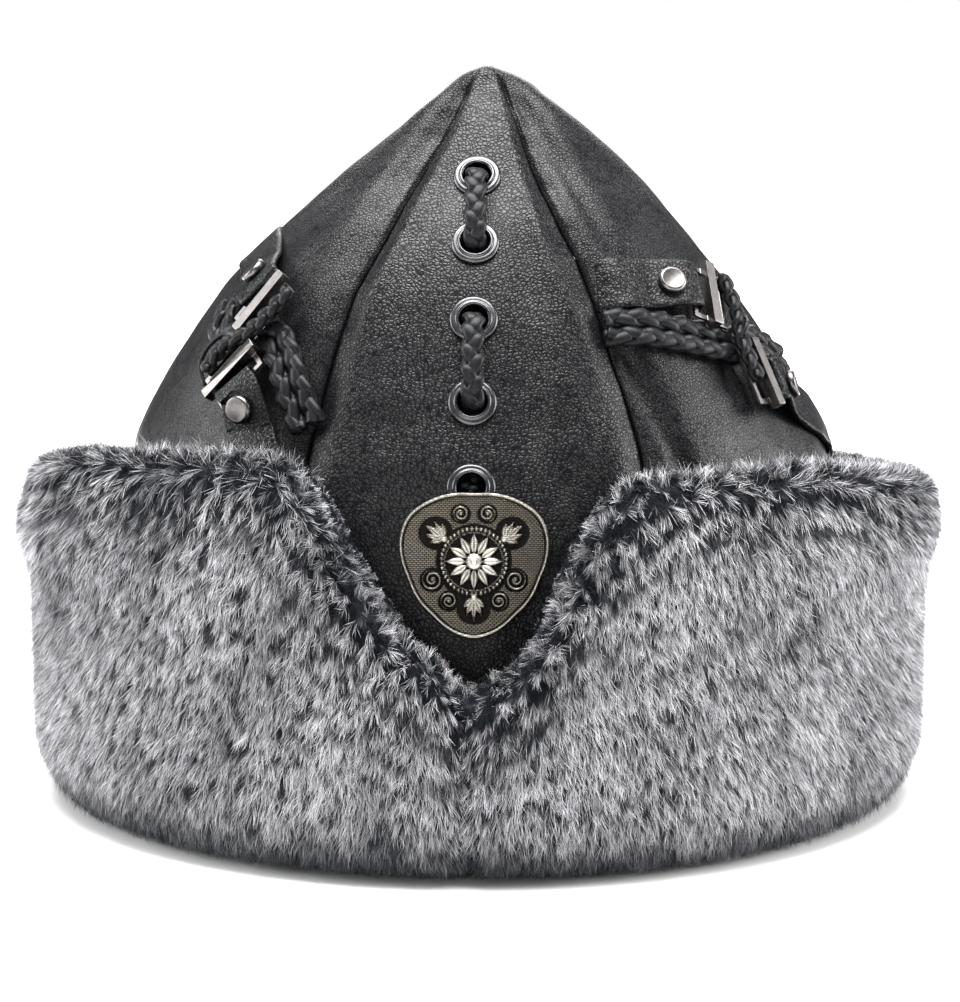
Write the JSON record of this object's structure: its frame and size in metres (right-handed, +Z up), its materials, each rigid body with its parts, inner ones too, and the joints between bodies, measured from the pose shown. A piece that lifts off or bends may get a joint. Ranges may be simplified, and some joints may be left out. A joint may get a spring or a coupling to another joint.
{
  "type": "bork hat",
  "caption": "Pointed Central Asian hat: crown of sewn leather gores with a laced front, cast badge and braided side ornaments, in a turned-up cuff of deep grey fur with a V notch.",
  "frame": {"origin": "middle of the hat's footprint, on the surface that its cuff stands on", "axes": "+Z up through the crown, -Y towards the front with the V notch, +X to the right as the front is seen"},
  "size_m": [0.2615, 0.2669, 0.2041],
  "materials": {
    "leather": "near-black pebbled leather, satin",
    "fur": "deep silver-grey pile with dark roots",
    "cord": "black braided leather cord",
    "gunmetal": "dark gunmetal, polished",
    "nickel": "bright nickel",
    "pewter": "antique pewter, dark in its hollows"
  },
  "bodies": {
    "root": {"gore_front": "leather", "gore_front_right": "leather", "gore_back_right": "leather", "gore_back": "leather", "gore_back_left": "leather", "gore_front_left": "leather", "fur_cuff": "fur", "eyelet_1": "gunmetal", "eyelet_2": "gunmetal", "eyelet_3": "gunmetal", "eyelet_4": "gunmetal", "eyelet_5": "gunmetal", "front_lace": "cord", "badge": "pewter", "braid_band_right": "cord", "upper_strap_right": "leather", "lower_strap_right": "leather", "upper_rivet_right": "nickel", "lower_rivet_right": "nickel", "upper_slide_right": "nickel", "lower_slide_right": "nickel", "cord_loop_right": "cord", "braid_band_left": "cord", "upper_strap_left": "leather", "lower_strap_left": "leather", "upper_rivet_left": "nickel", "lower_rivet_left": "nickel", "upper_slide_left": "nickel", "lower_slide_left": "nickel", "cord_loop_left": "cord"}
  },
  "joints": []
}
